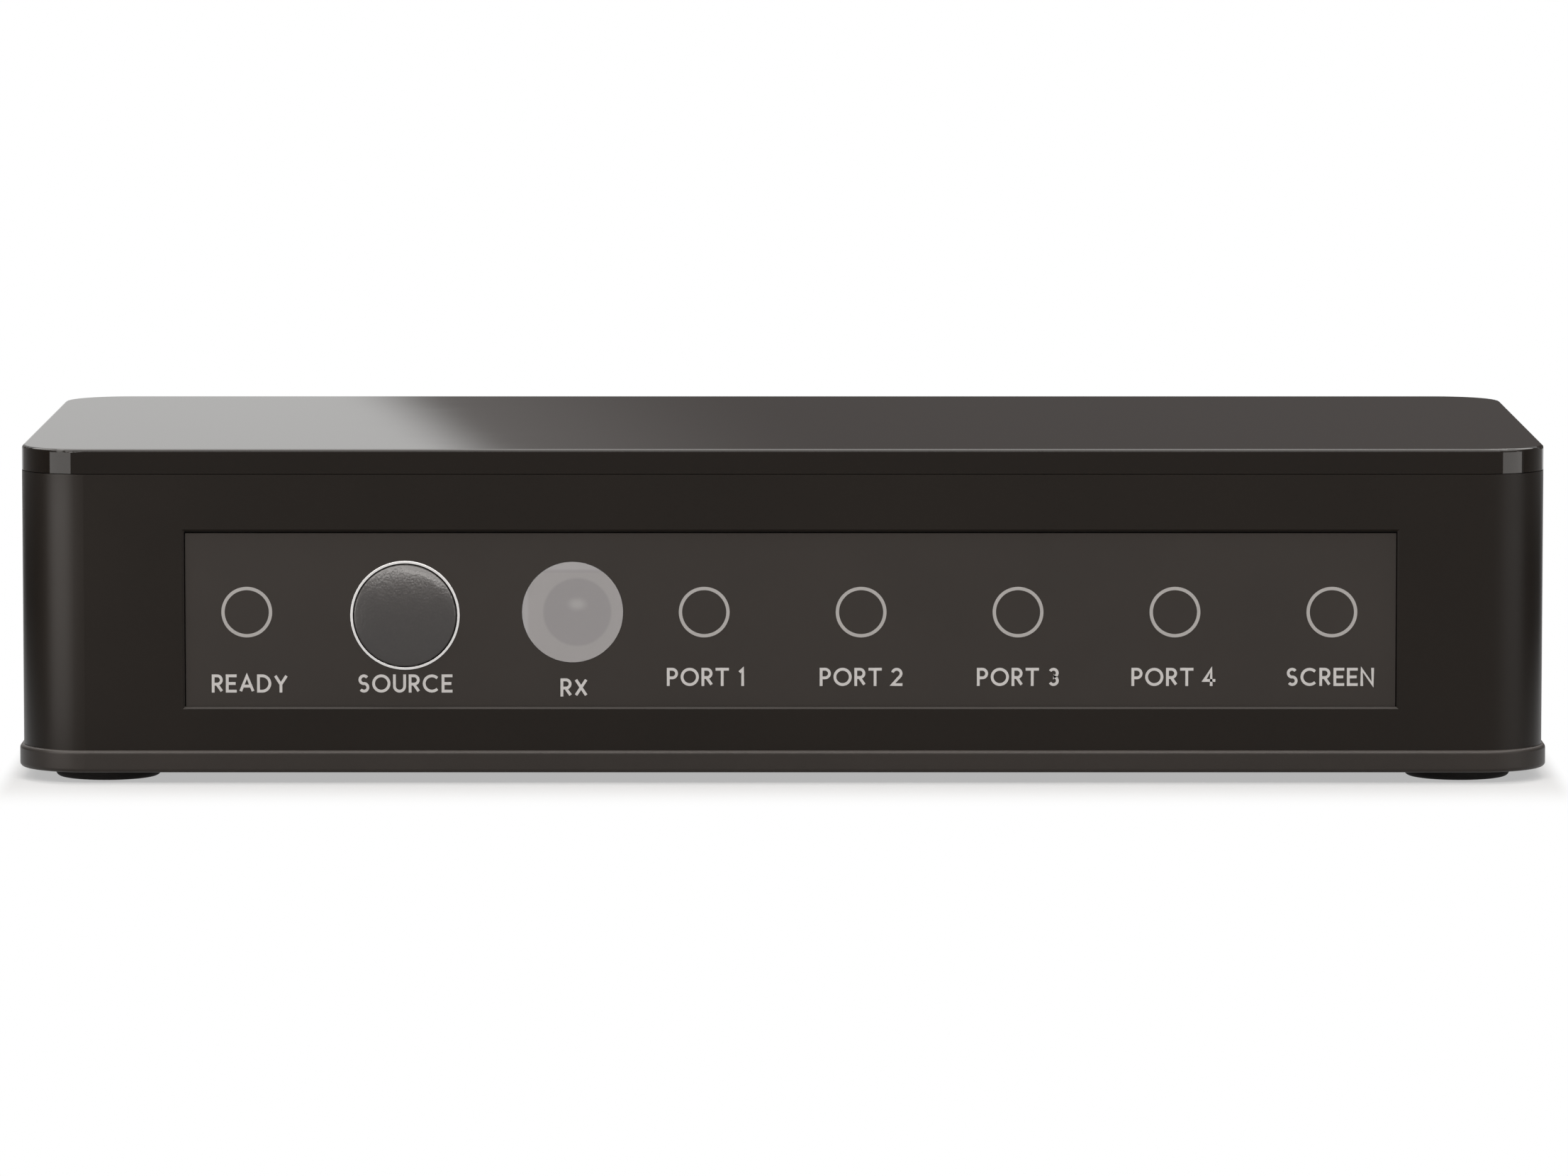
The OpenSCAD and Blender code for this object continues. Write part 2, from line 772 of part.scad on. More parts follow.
// Mouth of an HDMI socket in the XZ plane, its lower edge on z = 0, larger by grow
module mouth_outline(grow) {
    half = mouth_w / 2 + grow;
    lean = grow * tan(22.5);
    polygon([
        [-half, mouth_h + grow],
        [half, mouth_h + grow],
        [half, mouth_cut - lean],
        [half - grow - mouth_cut + lean, -grow],
        [-half + grow + mouth_cut - lean, -grow],
        [-half, mouth_cut - lean]
    ]);
}

module hdmi_shell(x) {
    color("#b9bbbd") {
        translate([x, mouth_y, mouth_z]) difference() {
            rotate([90, 0, 0]) linear_extrude(shell_l) mouth_outline(shell_t);
            translate([0, over, 0]) rotate([90, 0, 0])
                linear_extrude(shell_l - shell_t + over) mouth_outline(0);
        }
        for (s = [-1, 1], y = leg_ys)
            translate([x + s * (mouth_w + shell_t) / 2 - shell_t / 2, y - leg_w / 2, 0])
                block([0, 0, board_bottom - lead_tail], [shell_t, leg_w, mouth_z + mouth_h / 2]);
    }
}

module hdmi_tongue(x) {
    fit = 0.05;
    color("#171616") {
        translate([x, tongue_root, mouth_z]) rotate([90, 0, 0])
            linear_extrude(tongue_block_l) mouth_outline(-fit);
        block(
            [x - tongue_w / 2, tongue_root, tongue_z],
            [x + tongue_w / 2, tongue_tip, tongue_z + tongue_t]
        );
    }
}

// Ten contacts on the upper face of each tongue and nine on the lower
module hdmi_contacts() {
    color("#d9b25a") for (x = socket_x) {
        contact_row(x, 10, tongue_z + tongue_t);
        contact_row(x, 9, tongue_z - contact_t);
    }
}

module contact_row(x, count, z) {
    for (i = [0:count - 1]) {
        left = x + (i - (count - 1) / 2) * contact_pitch - contact_w / 2;
        block([left, tongue_root, z], [left + contact_w, tongue_tip - contact_in, z + contact_t]);
    }
}

module jack_body() {
    color("#191818") difference() {
        union() {
            block([jack_x - jack_w / 2, jack_rear, board_top], [jack_x + jack_w / 2, jack_front, board_top + jack_h]);
            rod_y(jack_x, jack_z, jack_front, back, barrel_d);
        }
        rod_y(jack_x, jack_z, back - jack_bore_l, back + over, jack_bore_d);
        rod_y(jack_x, jack_z, jack_rear - over, back, jack_root_d + 2 * snug);
        block(
            [jack_x - spring_slot_w / 2, spring_y, spring_z],
            [jack_x + spring_slot_w / 2, jack_front - spring_slot_end, jack_z]
        );
        block(
            [jack_x - spring_slot_w / 2, spring_y, board_top - over],
            [jack_x + spring_slot_w / 2, spring_y + 2 * spring_t, jack_z]
        );
    }
}

// Centre pin, round at its tip, with a thicker root in the block and a tab behind it
module jack_pin() {
    tip_r = jack_pin_d / 2;
    tip = back - jack_pin_in;
    floor_y = back - jack_bore_l;
    color("#c9c9c6") {
        rod_y(jack_x, jack_z, jack_rear - tab_t, floor_y, jack_root_d);
        rod_y(jack_x, jack_z, floor_y, tip - tip_r, jack_pin_d);
        translate([jack_x, tip - tip_r, jack_z]) sphere(tip_r);
        block(
            [jack_x - tab_w / 2, jack_rear - tab_t, board_bottom - lead_tail],
            [jack_x + tab_w / 2, jack_rear, jack_z + tab_w / 2]
        );
    }
}

// Flat spring under the bore, bowed up to press on a plug's sleeve
module jack_spring() {
    flat = 2.2;
    rise = 0.9;
    bow = 4.4;
    tip = 6;
    tip_rise = 0.4;
    color("#cfae62") {
        translate([jack_x + spring_w / 2, spring_y, spring_z]) rotate([90, 0, -90]) mirror([1, 0, 0])
            linear_extrude(spring_w) polygon([
                [0, 0],
                [flat, 0],
                [bow, rise],
                [tip, tip_rise],
                [tip, tip_rise + spring_t],
                [bow, rise + spring_t],
                [flat, spring_t],
                [0, spring_t]
            ]);
        block(
            [jack_x - spring_w / 2, spring_y, board_bottom - lead_tail],
            [jack_x + spring_w / 2, spring_y + spring_t, spring_z + spring_t]
        );
    }
}

module tact_body() {
    color("#1c1b1b") difference() {
        block(
            [button_x - tact_w / 2, tact_block, board_top],
            [button_x + tact_w / 2, tact_block + tact_t, button_z + tact_w / 2]
        );
        rod_y(button_x, button_z, tact_block - over, cavity_floor, cavity_d);
    }
}

// Bent sheet over the switch's front, top and sides, with a leg on each side
module tact_frame() {
    half = tact_w / 2;
    skirt = 1;
    color("#c3c4c5") {
        difference() {
            block(
                [button_x - half - tact_frame_t, tact_front, board_top + skirt],
                [button_x + half + tact_frame_t, tact_block + tact_t, button_z + half + tact_frame_t]
            );
            block(
                [button_x - half, tact_block, board_top],
                [button_x + half, tact_block + tact_t + over, button_z + half]
            );
            rod_y(button_x, button_z, tact_front - over, tact_block + over, plunger_d + 2 * plunger_gap);
        }
        for (s = [-1, 1])
            translate([button_x + s * (half + tact_frame_t / 2), tact_leg_y, 0])
                block(
                    [-tact_frame_t / 2, -tact_leg_w / 2, board_bottom - lead_tail],
                    [tact_frame_t / 2, tact_leg_w / 2, board_top + skirt]
                );
    }
}

module tact_terminals() {
    color("#c3c4c5") for (s = [-1, 1])
        translate([button_x + s * tact_pin_x, tact_pin_y, board_bottom - lead_tail])
            cylinder(d = lead_t, h = board_t + lead_tail);
}

module tact_plunger() {
    flange_y = tact_block + rest_play;
    color("#2a2929") {
        rod_y(button_x, button_z, plunger_tip, flange_y, plunger_d);
        rod_y(button_x, button_z, flange_y, flange_y + plunger_flange_t, plunger_flange_d);
        rod_y(button_x, button_z, flange_y + plunger_flange_t, plunger_back, plunger_nub_d);
    }
}

// Shallow sprung cap of sheet on the floor of the switch's cavity
module tact_snap_dome() {
    base_r = plunger_flange_d / 2;
    crown_r = plunger_nub_d;
    color("#c9cac8") translate([button_x, cavity_floor, button_z]) rotate([90, 0, 0])
        rotate_extrude() polygon([
            [0, snap_h - snap_t],
            [crown_r, snap_h - snap_t],
            [base_r - snap_t, 0],
            [base_r, 0],
            [crown_r, snap_h],
            [0, snap_h]
        ]);
}

module ir_receiver() {
    color("#26221f") {
        block(
            [ir_mid_x - ir_w / 2, ir_front, ir_bottom],
            [ir_mid_x + ir_w / 2, ir_front + ir_t, row_z + ir_crown]
        );
        translate([ir_mid_x, ir_front - ir_dome_h + ir_dome_d / 2, row_z]) sphere(d = ir_dome_d);
    }
}

module ir_leads() {
    color("#c8c9ca") for (s = [-1, 0, 1])
        translate([ir_mid_x + s * lead_pitch, ir_lead_y, 0])
            block([-lead_t / 2, -lead_t / 2, board_bottom - lead_tail], [lead_t / 2, lead_t / 2, ir_bottom]);
}

// Lamp with a round tip and a flange at its back
module lamp(x) {
    color("#d5d8d8") {
        translate([x, lamp_tip + lamp_d / 2, row_z]) sphere(d = lamp_d);
        rod_y(x, row_z, lamp_tip + lamp_d / 2, lamp_step, lamp_d);
        rod_y(x, row_z, lamp_step, lamp_tip + lamp_l, lamp_flange_d);
    }
}

module lamp_holders() {
    color("#1a1a1a") for (x = lamp_x) difference() {
        block(
            [x - holder_w / 2, holder_front, board_top],
            [x + holder_w / 2, holder_front + holder_l, row_z + holder_rise]
        );
        rod_y(x, row_z, holder_front - over, holder_front + holder_l + over, lamp_d + 2 * lamp_gap);
        rod_y(x, row_z, lamp_step, holder_front + holder_l + over, lamp_flange_d + 2 * lamp_gap);
    }
}

// Two bent leads behind each lamp
module lamp_leads() {
    half = lead_t / 2;
    color("#c8c9ca") for (x = lamp_x, s = [-1, 1]) translate([x + s * lead_pitch / 2, 0, 0]) {
        block([-half, lamp_tip + lamp_l, row_z - half], [half, lamp_lead_y + half, row_z + half]);
        block([-half, lamp_lead_y - half, board_bottom - lead_tail], [half, lamp_lead_y + half, row_z + half]);
    }
}

// Moves to a place on the board's upper face
module on_board(at) {
    translate([at[0], at[1], board_top]) children();
}

// Bent leads of a chip along its +X side, standing on the board
module lead_row(side, count, pitch, w) {
    for (i = [0:count - 1])
        translate([side, (i - (count - 1) / 2) * pitch + w / 2, 0]) rotate([90, 0, 0])
            linear_extrude(w) polygon([
                [0, lead_mid],
                [lead_knee, lead_mid],
                [lead_ankle, 0],
                [lead_run, 0],
                [lead_run, lead_sheet],
                [lead_ankle + lead_sheet, lead_sheet],
                [lead_knee + lead_sheet, lead_mid + lead_sheet],
                [0, lead_mid + lead_sheet]
            ]);
}

module switch_chip() {
    color("#202020") on_board(chip_at)
        block([-chip_w / 2, -chip_w / 2, chip_lift], [chip_w / 2, chip_w / 2, chip_lift + chip_h]);
}

module switch_chip_leads() {
    color("#c8c9ca") on_board(chip_at) for (i = [0:3]) rotate(90 * i)
        lead_row(chip_w / 2, chip_lead_count, chip_lead_pitch, chip_lead_w);
}

module controller_chip() {
    color("#202020") on_board(controller_at)
        block(
            [-controller_w / 2, -controller_d / 2, chip_lift],
            [controller_w / 2, controller_d / 2, chip_lift + controller_h]
        );
}

module controller_leads() {
    color("#c8c9ca") on_board(controller_at) for (turn = [90, 270]) rotate(turn)
        lead_row(controller_d / 2, controller_lead_count, controller_lead_pitch, controller_lead_w);
}

module crystal() {
    color("#b4b6b8") on_board(crystal_at) linear_extrude(crystal_h) {
        square([crystal_w - crystal_d, crystal_d], center = true);
        for (s = [-1, 1]) translate([s * (crystal_w - crystal_d) / 2, 0]) circle(d = crystal_d);
    }
}

module capacitor_can() {
    color("#b9bcc0") on_board(capacitor_at) translate([0, 0, capacitor_base_h])
        cylinder(d = capacitor_d, h = capacitor_h);
}

module capacitor_base() {
    half = capacitor_base_w / 2;
    color("#1c1c1c") on_board(capacitor_at) block([-half, -half, 0], [half, half, capacitor_base_h]);
}

module regulator() {
    color("#202020") on_board(regulator_at)
        block(
            [-regulator_w / 2, -regulator_d / 2, chip_lift],
            [regulator_w / 2, regulator_d / 2, chip_lift + regulator_h]
        );
}

// Three leads on one side of the regulator and a wide tab on the other
module regulator_leads() {
    color("#c8c9ca") on_board(regulator_at) {
        rotate(270) lead_row(regulator_d / 2, 3, regulator_pitch, regulator_lead_w);
        rotate(90) lead_row(regulator_d / 2, 1, 0, regulator_tab_w);
    }
}

// Small parts, each a plain brick on the board
module brick(at, w, d, h) {
    on_board(at) block([-w / 2, -d / 2, 0], [w / 2, d / 2, h]);
}

module chip_resistors() {
    color("#2b2b2b") for (i = [0:resistor_count - 1])
        brick([resistor_at[0] + i * resistor_pitch, resistor_at[1]], small_w, small_l, small_h);
}

// Two ranks of ceramic capacitors, left and right of the switch chip
module chip_capacitors() {
    reach = chip_w / 2 + ceramic_gap;
    middle = (ceramic_count - 1) / 2;
    color("#b08d62") for (s = [-1, 1], i = [0:ceramic_count - 1])
        brick([chip_at[0] + s * reach, chip_at[1] + (i - middle) * ceramic_pitch], small_l, small_w, small_h);
}

// Four surge arrays behind each HDMI socket
module surge_arrays() {
    color("#242424") for (x = socket_x, i = [-1.5:1:1.5])
        brick([x + i * guard_pitch, guard_y], guard_w, guard_l, guard_h);
}

top_cover();
wall_ring();
base_plate();
front_panel();
rear_plate();
select_button();
button_trim_ring();
ir_window();
translate([-foot_x, -foot_y, 0]) foot();  // foot_front_left
translate([foot_x, -foot_y, 0]) foot();  // foot_front_right
translate([-foot_x, foot_y, 0]) foot();  // foot_rear_left
translate([foot_x, foot_y, 0]) foot();  // foot_rear_right
case_screws();
main_board();
for (i = [0:4]) {
    hdmi_shell(socket_x[i]);
    hdmi_tongue(socket_x[i]);
}
hdmi_contacts();
jack_body();
jack_pin();
jack_spring();
tact_body();
tact_frame();
tact_terminals();
tact_plunger();
tact_snap_dome();
ir_receiver();
ir_leads();
for (i = [0:5])
    lamp(lamp_x[i]);
lamp_holders();
lamp_leads();
switch_chip();
switch_chip_leads();
controller_chip();
controller_leads();
crystal();
capacitor_can();
capacitor_base();
regulator();
regulator_leads();
chip_resistors();
chip_capacitors();
surge_arrays();
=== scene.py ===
import json
import math
import bmesh
import bpy
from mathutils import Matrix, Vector


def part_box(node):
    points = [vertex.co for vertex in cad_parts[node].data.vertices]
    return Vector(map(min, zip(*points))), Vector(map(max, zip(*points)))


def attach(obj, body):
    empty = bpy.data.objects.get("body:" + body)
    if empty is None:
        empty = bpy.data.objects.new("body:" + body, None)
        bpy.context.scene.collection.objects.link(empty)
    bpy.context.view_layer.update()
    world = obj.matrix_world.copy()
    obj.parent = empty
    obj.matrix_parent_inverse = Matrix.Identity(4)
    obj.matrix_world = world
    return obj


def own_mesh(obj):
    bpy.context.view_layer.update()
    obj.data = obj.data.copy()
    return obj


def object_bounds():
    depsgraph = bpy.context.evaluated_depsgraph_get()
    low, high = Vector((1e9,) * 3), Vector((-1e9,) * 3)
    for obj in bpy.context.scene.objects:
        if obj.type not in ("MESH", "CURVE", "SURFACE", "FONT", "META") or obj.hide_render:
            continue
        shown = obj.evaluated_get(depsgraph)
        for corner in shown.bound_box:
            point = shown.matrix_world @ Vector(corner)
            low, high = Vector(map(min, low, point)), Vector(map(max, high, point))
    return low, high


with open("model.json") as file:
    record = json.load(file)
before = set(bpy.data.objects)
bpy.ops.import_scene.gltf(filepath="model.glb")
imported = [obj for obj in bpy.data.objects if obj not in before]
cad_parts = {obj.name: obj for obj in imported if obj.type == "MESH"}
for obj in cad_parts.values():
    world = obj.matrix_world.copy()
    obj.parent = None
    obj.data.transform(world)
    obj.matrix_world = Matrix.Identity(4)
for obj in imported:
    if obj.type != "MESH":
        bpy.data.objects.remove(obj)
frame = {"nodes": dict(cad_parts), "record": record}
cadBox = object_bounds()
scene = bpy.context.scene
nodes = frame["nodes"]
mm = 0.001
tiny = 1e-6  # lengths below this count as nothing
print("frame loaded:", len(nodes), "nodes")


# Shader maths: a Link is one output socket, and sums of links add Math nodes
class Link:
    def __init__(self, finish, socket):
        self.finish = finish
        self.socket = socket

    def calc(self, operation, *others):
        return self.finish.node("ShaderNodeMath", {"operation": operation}, dict(enumerate((self,) + others)))

    def flipped(self, operation, other):
        return self.finish.node("ShaderNodeMath", {"operation": operation}, {0: other, 1: self})

    def __add__(self, other):
        return self.calc("ADD", other)

    def __radd__(self, other):
        return self.flipped("ADD", other)

    def __sub__(self, other):
        return self.calc("SUBTRACT", other)

    def __rsub__(self, other):
        return self.flipped("SUBTRACT", other)

    def __mul__(self, other):
        return self.calc("MULTIPLY", other)

    def __rmul__(self, other):
        return self.flipped("MULTIPLY", other)

    def __pow__(self, other):
        return self.calc("POWER", other)

    def __abs__(self):
        return self.calc("ABSOLUTE")

    def most(self, other):
        return self.calc("MAXIMUM", other)

    def ease(self, low, high, start=0.0, end=1.0):
        sockets = {"Value": self, "From Min": low, "From Max": high, "To Min": start, "To Max": end}
        return self.finish.node("ShaderNodeMapRange", {"interpolation_type": "SMOOTHSTEP"}, sockets)


# A finish is one node tree, of a material or of the world
class Finish:
    def __init__(self, owner):
        owner.use_nodes = True
        self.owner = owner
        self.tree = owner.node_tree
        self.tree.nodes.clear()

    def node(self, kind, settings=None, sockets=None, output=0):
        made = self.tree.nodes.new(kind)
        for name, value in (settings or {}).items():
            setattr(made, name, value)
        for key, value in (sockets or {}).items():
            if isinstance(value, Link):
                self.tree.links.new(value.socket, made.inputs[key])
            else:
                made.inputs[key].default_value = value
        return Link(self, made.outputs[output]) if made.outputs else made

    # place on the piece, in millimetres
    def place(self):
        coords = self.node("ShaderNodeTexCoord", output="Object")
        return self.node("ShaderNodeVectorMath", {"operation": "SCALE"}, {0: coords, "Scale": 1 / mm})

    def axes(self, point):
        return [self.node("ShaderNodeSeparateXYZ", None, {0: point}, axis) for axis in "XYZ"]

    # soft noise from 0 to 1 whose lumps are about size millimetres across
    def noise(self, point, size, detail=2.0, rough=0.5):
        sockets = {"Vector": point, "Scale": 1.0 / size, "Detail": detail, "Roughness": rough}
        return self.node("ShaderNodeTexNoise", None, sockets, "Fac")

    # rounded pebbles about size millimetres across
    def pebbles(self, point, size):
        sockets = {"Vector": point, "Scale": 1.0 / size}
        return self.node("ShaderNodeTexVoronoi", {"feature": "SMOOTH_F1"}, sockets, "Distance")

    def blend(self, share, first, second):
        colors = [value if isinstance(value, Link) else (*value, 1.0) for value in (first, second)]
        sockets = {0: share, 6: colors[0], 7: colors[1]}
        return self.node("ShaderNodeMix", {"data_type": "RGBA"}, sockets, 2)

    # height from 0 to 1 times depth millimetres
    def bump(self, height, depth):
        return self.node("ShaderNodeBump", None, {"Height": height, "Distance": depth * mm, "Strength": 1.0})

    def shade(self, sockets):
        return self.node("ShaderNodeBsdfPrincipled", None, sockets)

    def glow(self, color, strength):
        return self.node("ShaderNodeEmission", None, {"Color": color, "Strength": strength})

    def done(self, shader, kind="ShaderNodeOutputMaterial"):
        self.node(kind, None, {"Surface": shader})
        return self.owner


def newFinish(name):
    return Finish(bpy.data.materials.new(name))


def tone(color, share):
    return tuple(channel * share for channel in color)


def shades(color, shift):
    return [tone(color, share) for share in shift]


def facing(start, end):
    return (Vector(end) - Vector(start)).to_track_quat("-Z", "Y").to_euler()


# Camera, at the photograph's viewing angle
camera = {
    "at": (0.0001, -0.7133, 0.08235),
    "aim": (0.0001, -0.026, 0.01485),
    "lens": 211.0,
    "sensor": 36.0,
    "clip": (0.01, 50.0),
}


def placeCamera():
    data = bpy.data.cameras.new("camera")
    data.lens = camera["lens"]
    data.sensor_width = camera["sensor"]
    data.clip_start, data.clip_end = camera["clip"]
    made = bpy.data.objects.new("camera", data)
    made.location = camera["at"]
    made.rotation_euler = facing(camera["at"], camera["aim"])
    scene.collection.objects.link(made)
    scene.camera = made


placeCamera()
print("camera placed")


# Mesh helpers
def newPiece(name, mesh, finish, body="case"):
    made = bpy.data.objects.new(name, mesh)
    mesh.materials.append(finish)
    scene.collection.objects.link(made)
    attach(made, body)


def meshFrom(name, form):
    mesh = bpy.data.meshes.new(name)
    form.normal_update()
    form.to_mesh(mesh)
    form.free()
    return mesh


# Moulded and metal finishes for the CAD nodes: lumps and depths are in millimetres
gloss = {
    "color": (0.0084, 0.0052, 0.0029),
    "shift": (0.9, 1.1),
    "cloud": 14.0,
    "specular": 0.15,
    "rough": 0.03,
    "smear": 5.0,
    "smearRough": 0.02,
    "wave": 9.0,
    "waveDepth": 0.0012,
}


def glossCover():
    f = newFinish("gloss_cover")
    point = f.place()
    cloud = f.noise(point, gloss["cloud"], detail=3.0)
    rough = gloss["rough"] + gloss["smearRough"] * f.noise(point, gloss["smear"], detail=4.0, rough=0.6)
    wave = f.bump(f.noise(point, gloss["wave"], detail=1.0), gloss["waveDepth"])
    color = f.blend(cloud, *shades(gloss["color"], gloss["shift"]))
    more = {"Base Color": color, "Roughness": rough, "Specular IOR Level": gloss["specular"], "Normal": wave}
    return f.done(f.shade(more))


matt = {"shift": (0.9, 1.1), "cloud": 11.0, "spread": 0.1}


def mattPlastic(name, look):
    f = newFinish(name)
    point = f.place()
    grain = f.noise(point, look["grain"], rough=0.6)
    cloud = f.noise(point, matt["cloud"], detail=4.0, rough=0.6)
    color = f.blend(cloud, *shades(look["color"], matt["shift"]))
    rough = look["rough"] - matt["spread"] / 2 + matt["spread"] * cloud
    relief = f.bump(grain, look["depth"])
    more = {"Base Color": color, "Roughness": rough, "Specular IOR Level": look["specular"], "Normal": relief}
    return f.done(f.shade(more))


case = {"color": (0.0065, 0.0038, 0.0018), "specular": 0.15, "rough": 0.38, "grain": 0.11, "depth": 0.003}
base = {"color": (0.0216, 0.0169, 0.0139), "specular": 0.2, "rough": 0.42, "grain": 0.11, "depth": 0.004}
panel = {"color": (0.0193, 0.0149, 0.0119), "specular": 0.2, "rough": 0.5, "grain": 0.05, "depth": 0.0006}
rubber = {"color": (0.0235, 0.0212, 0.0200), "specular": 0.2, "rough": 0.75, "grain": 0.25, "depth": 0.01}
insulator = {"color": (0.012, 0.0115, 0.011), "specular": 0.4, "rough": 0.42, "grain": 0.14, "depth": 0.003}
chip = {"color": (0.014, 0.0138, 0.0135), "specular": 0.35, "rough": 0.55, "grain": 0.08, "depth": 0.003}
ceramic = {"color": (0.36, 0.25, 0.145), "specular": 0.45, "rough": 0.4, "grain": 0.1, "depth": 0.004}
receiver = {"color": (0.022, 0.018, 0.016), "specular": 0.5, "rough": 0.18, "grain": 0.4, "depth": 0.001}


plating = {"shift": (0.92, 1.04), "cloud": 3.0, "fine": 0.12}


def metal(name, look):
    f = newFinish(name)
    point = f.place()
    cloud = f.noise(point, plating["cloud"], detail=4.0, rough=0.6)
    fine = f.noise(point, plating["fine"])
    color = f.blend(cloud, *shades(look["color"], plating["shift"]))
    rough = look["rough"] + look["spread"] * (fine - 0.5)
    more = {"Base Color": color, "Metallic": 1.0, "Roughness": rough, "Normal": f.bump(fine, look["depth"])}
    return f.done(f.shade(more))


plated = {"color": (0.66, 0.655, 0.645), "rough": 0.27, "spread": 0.14, "depth": 0.0012}
tinned = {"color": (0.70, 0.70, 0.695), "rough": 0.36, "spread": 0.16, "depth": 0.0015}
gold = {"color": (0.83, 0.61, 0.27), "rough": 0.24, "spread": 0.1, "depth": 0.0008}
can = {"color": (0.74, 0.745, 0.75), "rough": 0.3, "spread": 0.12, "depth": 0.0012}
trim = {"color": (0.53, 0.519, 0.509), "rough": 0.45, "spread": 0.1, "depth": 0.0008}


# Grained cap of the select button
cap = {
    "color": (0.0190, 0.0148, 0.0128),
    "shift": (1.1, 0.85),
    "specular": 0.6,
    "rough": 0.3,
    "spread": 0.1,
    "warp": 0.5,
    "pebble": 0.19,
    "pebbleShare": 0.7,
    "fine": 0.1,
    "depth": 0.018,
}


def grainedCap():
    f = newFinish("button_cap")
    point = f.place()
    warp = f.noise(point, cap["warp"])
    pebble = f.pebbles(point, cap["pebble"])
    share = cap["pebbleShare"]
    grain = share * pebble + (1 - share) * f.noise(point, cap["fine"], detail=3.0, rough=0.6)
    color = f.blend(pebble, *shades(cap["color"], cap["shift"]))
    rough = cap["rough"] + cap["spread"] * (warp - 0.5)
    more = {"Base Color": color, "Roughness": rough, "Specular IOR Level": cap["specular"]}
    more["Normal"] = f.bump(grain, cap["depth"])
    return f.done(f.shade(more))


# Milky window: the receiver behind it shows as a darker disc and two faint edges, and a painted highlight
# sits above the lens's middle
window = {
    "milk": (0.302, 0.288, 0.287),
    "rim": (0.336, 0.322, 0.327),
    "lens": (0.252, 0.240, 0.243),
    # colour of the painted highlight on the lens
    "painted_glint": (0.347, 0.334, 0.333),
    "lensEdge": (2.68, 2.42),  # radii between which the disc fades in
    "blockEdge": (0.12, 0.15),  # softness of the receiver's left side and of its top
    "topLine": (0.22, 0.02),
    "topShare": 0.5,
    # place, shape and strength of the painted highlight
    "glintUp": 0.6,
    "glintFlat": 2.2,
    "glintEdge": (1.0, 0.1),
    "glintShare": 0.8,
    "specular": 0.35,
    "rough": 0.3,
    "cloud": 0.9,
    "spread": 0.06,
    "ripple": 1.6,
    "rippleDepth": 0.004,
}


def milkyWindow():
    f = newFinish("smoke_window")
    point = f.place()
    x, y, z = f.axes(point)
    low, high = [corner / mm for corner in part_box("ir_receiver")]
    middle = (low.x + high.x) / 2
    lensZ = sum(corner.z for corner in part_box("ir_window")) / 2 / mm
    across = x - middle
    up = z - lensZ
    raised = up - window["glintUp"]
    side, top = window["blockEdge"]
    lens = ((across * across + up * up) ** 0.5).ease(*window["lensEdge"])
    block = (x - low.x).ease(-side, side) * (high.z - z).ease(-top, top)
    # painted highlight: a soft bright spot in the base colour, above the lens's middle
    painted_glint = ((across * across + raised * raised * window["glintFlat"]) ** 0.5).ease(*window["glintEdge"])
    edge = abs(high.z - z).ease(*window["topLine"]) * window["topShare"]
    milk = f.blend(block, window["rim"], window["milk"])
    milk = f.blend(edge, milk, window["lens"])
    seen = f.blend(lens, milk, window["lens"])
    # the painted highlight is blended over the lens and the milk
    seen = f.blend(painted_glint * window["glintShare"], seen, window["painted_glint"])
    rough = window["rough"] + window["spread"] * f.noise(point, window["cloud"], detail=3.0)
    more = {"Base Color": seen, "Roughness": rough, "Specular IOR Level": window["specular"]}
    more["Normal"] = f.bump(f.noise(point, window["ripple"], detail=1.0), window["rippleDepth"])
    return f.done(f.shade(more))


clear = {
    "pale": (0.62, 0.65, 0.65),
    "milky": (0.78, 0.8, 0.79),
    "cloud": 1.2,
    "rough": 0.08,
    "roughSpread": 0.1,
    "alpha": 0.55,
    "alphaSpread": 0.2,
}


def clearLamp():
    f = newFinish("lamp_clear")
    cloud = f.noise(f.place(), clear["cloud"], detail=3.0)
    more = {"Base Color": f.blend(cloud, clear["pale"], clear["milky"])}
    more["Roughness"] = clear["rough"] + clear["roughSpread"] * cloud
    more["Alpha"] = clear["alpha"] + clear["alphaSpread"] * cloud
    return f.done(f.shade(more))


# Green mask with copper tracks under it
board = {
    "color": (0.016, 0.105, 0.05),
    "copper": 1.7,
    "turns": 2.1,
    "sway": 0.6,
    "swayReach": 6.0,
    "trackEdge": (0.55, 0.8),
    "patch": 9.0,
    "patchEdge": (0.45, 0.55),
    "specular": 0.5,
    "rough": 0.28,
    "smear": 0.6,
    "smearRough": 0.12,
    "grain": 0.35,
    "grainShare": 0.2,
    "depth": 0.006,
}


def maskedBoard():
    f = newFinish("board_green")
    point = f.place()
    x = f.axes(point)[0]
    wander = x * board["turns"] + board["sway"] * f.noise(point, board["swayReach"])
    patch = f.noise(point, board["patch"], detail=1.0).ease(*board["patchEdge"])
    copper = wander.calc("SINE").ease(*board["trackEdge"]) * patch
    color = f.blend(copper, board["color"], tone(board["color"], board["copper"]))
    rough = board["rough"] + board["smearRough"] * f.noise(point, board["smear"], detail=3.0)
    more = {"Base Color": color, "Roughness": rough, "Specular IOR Level": board["specular"]}
    relief = copper + board["grainShare"] * f.noise(point, board["grain"])
    more["Normal"] = f.bump(relief, board["depth"])
    return f.done(f.shade(more))


